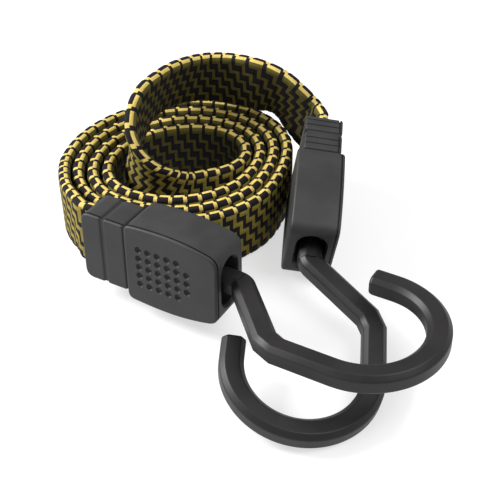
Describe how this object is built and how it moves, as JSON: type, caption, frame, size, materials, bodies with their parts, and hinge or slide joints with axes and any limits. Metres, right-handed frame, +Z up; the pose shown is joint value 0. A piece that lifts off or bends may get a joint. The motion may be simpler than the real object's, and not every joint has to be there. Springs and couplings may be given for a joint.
{
  "type": "bungee cord",
  "caption": "Flat elastic bungee strap, woven sleeve over rubber strands, lying coiled, with a moulded housing and a swinging open hook on each end.",
  "frame": {"origin": "On the floor, under the middle of the box round the two end fittings", "axes": "+Z up from the floor the cord lies on, +Y away from the viewer from the hooks to the coil, +X to the viewer's right"},
  "size_m": [0.0987, 0.1171, 0.0375],
  "materials": {
    "housing": "moulded black plastic, fine matt grain",
    "hook": "moulded black plastic, slightly rough",
    "steel": "plain steel, hidden inside the housing",
    "sleeve": "woven black and yellow polyester yarn",
    "rubber": "natural latex rubber"
  },
  "bodies": {
    "cord": {"housing_tray_a": "housing", "housing_cover_a": "housing", "strap_clip_a": "steel", "hook_pin_a": "steel", "housing_tray_b": "housing", "housing_cover_b": "housing", "strap_clip_b": "steel", "hook_pin_b": "steel", "strap_loop": "sleeve", "strap_coil": "sleeve", "rubber_strand_1": "rubber", "rubber_strand_2": "rubber", "rubber_strand_3": "rubber", "rubber_strand_4": "rubber"},
    "hook_a": {"hook_a": "hook"},
    "hook_b": {"hook_b": "hook"}
  },
  "joints": [
    {"name": "hook_a_swing", "type": "hinge", "parent": "cord", "child": "hook_a", "pos_m": [-0.01333, -0.00458, 0.0157], "axis": [-0.4953, -0.8656, 0.0732], "range_deg": [-1, 19]},
    {"name": "hook_b_swing", "type": "hinge", "parent": "cord", "child": "hook_b", "pos_m": [0.01389, 0.01444, 0.01254], "axis": [-0.9898, 0.0665, 0.1263], "range_deg": [-19, 2]}
  ]
}
